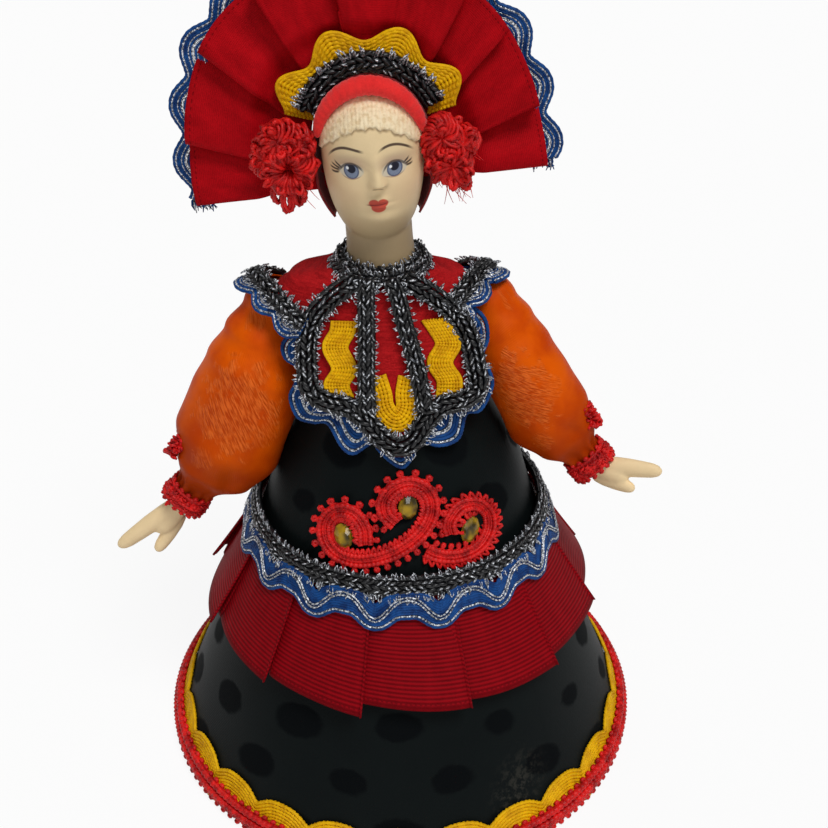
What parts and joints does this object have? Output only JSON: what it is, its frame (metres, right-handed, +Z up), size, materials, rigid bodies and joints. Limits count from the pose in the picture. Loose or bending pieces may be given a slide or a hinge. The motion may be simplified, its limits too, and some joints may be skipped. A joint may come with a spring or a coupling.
{
  "type": "folk costume doll",
  "caption": "Standing folk costume doll with a stiff cone skirt, ribbon peplum, trimmed bib, full sleeves on wired arms, and a pleated fan head-dress.",
  "frame": {"origin": "centre of the base disc's underside, on the floor", "axes": "+Z up through the skirt, -Y the way the doll faces, +X to the viewer's right"},
  "size_m": [0.1386, 0.1306, 0.2084],
  "materials": {
    "card": "plain grey-brown board",
    "black_satin": "stiffened satin with matte woven dots",
    "red_ribbon": "grosgrain with fine cross ribs",
    "red_cloth": "plain weave",
    "red_gimp": "corded gimp with picot loops",
    "red_felt": "soft felt",
    "yellow_cord": "ric-rac of fine rope-like cords",
    "blue_silver_ricrac": "ric-rac with metallic silver threads",
    "black_silver_braid": "plaited braid with metallic silver flecks",
    "orange_satin": "glossy satin with a woven sheen pattern",
    "stuffing": "packed fibre",
    "bisque": "unglazed bisque, painted by hand",
    "dowel_wood": "bare",
    "wire_steel": "drawn wire",
    "olive_stone": "faceted, clear olive with a foiled back"
  },
  "bodies": {
    "root": {"base_disc": "card", "body_cone": "card", "skirt_fabric": "black_satin", "hem_ricrac": "yellow_cord", "hem_braid": "red_gimp", "peplum_ribbon": "red_ribbon", "waist_ricrac": "blue_silver_ricrac", "waist_braid": "black_silver_braid", "belt_scroll_long": "red_gimp", "belt_scroll_short": "red_gimp", "stone_left": "olive_stone", "stone_middle": "olive_stone", "stone_right": "olive_stone", "yoke_fabric": "red_cloth", "bust_form": "stuffing", "shoulder_wire": "wire_steel", "bib_ricrac": "blue_silver_ricrac", "bib_panel": "red_cloth", "bib_frame_braid": "black_silver_braid", "bib_bar_left": "black_silver_braid", "bib_bar_right": "black_silver_braid", "bib_yellow_left": "yellow_cord", "bib_yellow_middle": "yellow_cord", "bib_yellow_right": "yellow_cord", "strap_braid_left": "black_silver_braid", "strap_braid_right": "black_silver_braid", "strap_ricrac_left": "blue_silver_ricrac", "strap_ricrac_right": "blue_silver_ricrac", "collar_braid": "black_silver_braid", "head": "bisque", "neck_dowel": "dowel_wood", "head_cap": "red_cloth", "headband": "red_felt", "crown_braid": "black_silver_braid", "crown_ricrac": "yellow_cord", "fan_ribbon": "red_ribbon", "fan_backing": "card", "fan_ricrac": "blue_silver_ricrac", "rosette_left": "red_gimp", "rosette_right": "red_gimp"},
    "bend_left": {"wire_bend_left": "wire_steel"},
    "arm_left": {"sleeve_left": "orange_satin", "arm_wire_left": "wire_steel", "sleeve_filling_left": "stuffing", "cuff_braid_left": "red_gimp", "sleeve_tuft_left": "red_gimp", "hand_left": "bisque"},
    "bend_right": {"wire_bend_right": "wire_steel"},
    "arm_right": {"sleeve_right": "orange_satin", "arm_wire_right": "wire_steel", "sleeve_filling_right": "stuffing", "cuff_braid_right": "red_gimp", "sleeve_tuft_right": "red_gimp", "hand_right": "bisque"}
  },
  "joints": [
    {"name": "left_arm_raise", "type": "hinge", "parent": "root", "child": "bend_left", "pos_m": [-0.0295, 0.001, 0.126], "axis": [0, 1, 0], "range_deg": [0, 40]},
    {"name": "left_arm_swing", "type": "hinge", "parent": "bend_left", "child": "arm_left", "pos_m": [-0.0295, 0.001, 0.126], "axis": [0, 0, 1], "range_deg": [-10, 6]},
    {"name": "right_arm_raise", "type": "hinge", "parent": "root", "child": "bend_right", "pos_m": [0.0215, 0.001, 0.1265], "axis": [0, -1, 0], "range_deg": [0, 40]},
    {"name": "right_arm_swing", "type": "hinge", "parent": "bend_right", "child": "arm_right", "pos_m": [0.0215, 0.001, 0.1265], "axis": [0, 0, -1], "range_deg": [-10, 6]}
  ]
}
